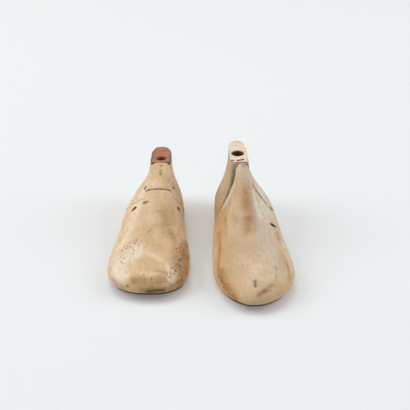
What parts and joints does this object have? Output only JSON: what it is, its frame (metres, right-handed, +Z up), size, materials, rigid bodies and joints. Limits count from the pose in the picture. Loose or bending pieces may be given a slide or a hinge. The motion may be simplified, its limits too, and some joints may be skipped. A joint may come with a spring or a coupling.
{
  "type": "pair of shoe lasts",
  "caption": "Mismatched pair of worn wooden shoe lasts: one with a lift-off instep block, one sawn in two with a hinged heel part; jack bores in the tops, thin plates under the soles.",
  "frame": {"origin": "middle of the pair's bounding box, on the floor that both lasts stand on", "axes": "+Z up; toes towards -Y, heels towards +Y; the block last stands at -X and the hinged last at +X"},
  "size_m": [0.1805, 0.2364, 0.0827],
  "materials": {
    "pale_wood": "worn, bare",
    "block_wood": "worn, bare",
    "grey_wood": "worn, bare, greyed",
    "dark_wood": "worn, bare",
    "dark_leather": "hard, dull",
    "red_leather": "hard, dull",
    "cream_leather": "hard, dull",
    "rusty_steel": "rusted",
    "dark_steel": "tarnished"
  },
  "bodies": {
    "lasts": {"block_last_body": "pale_wood", "block_last_top_plate": "red_leather", "block_last_thimble": "rusty_steel", "block_last_body_front_pin": "rusty_steel", "block_last_body_rear_pin": "rusty_steel", "block_last_peg": "dark_wood", "block_last_sole_plate": "dark_leather", "block_last_heel_plate": "dark_leather", "block_last_sole_plate_brad_1": "dark_steel", "block_last_sole_plate_brad_2": "dark_steel", "block_last_sole_plate_brad_3": "dark_steel", "block_last_sole_plate_brad_4": "dark_steel", "block_last_heel_plate_brad_1": "dark_steel", "block_last_heel_plate_brad_2": "dark_steel", "block_last_heel_plate_brad_3": "dark_steel", "hinged_last_forepart": "grey_wood", "hinged_last_hinge_link": "dark_steel", "hinged_last_front_pin": "rusty_steel", "hinged_last_sole_plate": "dark_leather", "hinged_last_sole_plate_brad_1": "dark_steel", "hinged_last_sole_plate_brad_2": "dark_steel", "hinged_last_sole_plate_brad_3": "dark_steel", "hinged_last_sole_plate_brad_4": "dark_steel"},
    "lift_off_block": {"block_last_scoop_block": "block_wood", "block_last_tongue": "dark_wood", "block_last_block_pin": "rusty_steel"},
    "heel_part": {"hinged_last_heel_part": "grey_wood", "hinged_last_top_plate": "cream_leather", "hinged_last_top_nail": "dark_steel", "hinged_last_thimble": "rusty_steel", "hinged_last_rear_pin": "rusty_steel", "hinged_last_heel_plate": "dark_leather", "hinged_last_heel_plate_brad_1": "dark_steel", "hinged_last_heel_plate_brad_2": "dark_steel", "hinged_last_heel_plate_brad_3": "dark_steel"}
  },
  "joints": [
    {"name": "block_lift", "type": "slide", "parent": "lasts", "child": "lift_off_block", "axis": [0, 0, 1], "range_m": [0, 0.06]},
    {"name": "heel_hinge", "type": "hinge", "parent": "lasts", "child": "heel_part", "pos_m": [0.04273, 0.03716, 0.0275], "axis": [0.9994, 0.0349, 0], "range_deg": [0, 6]}
  ]
}
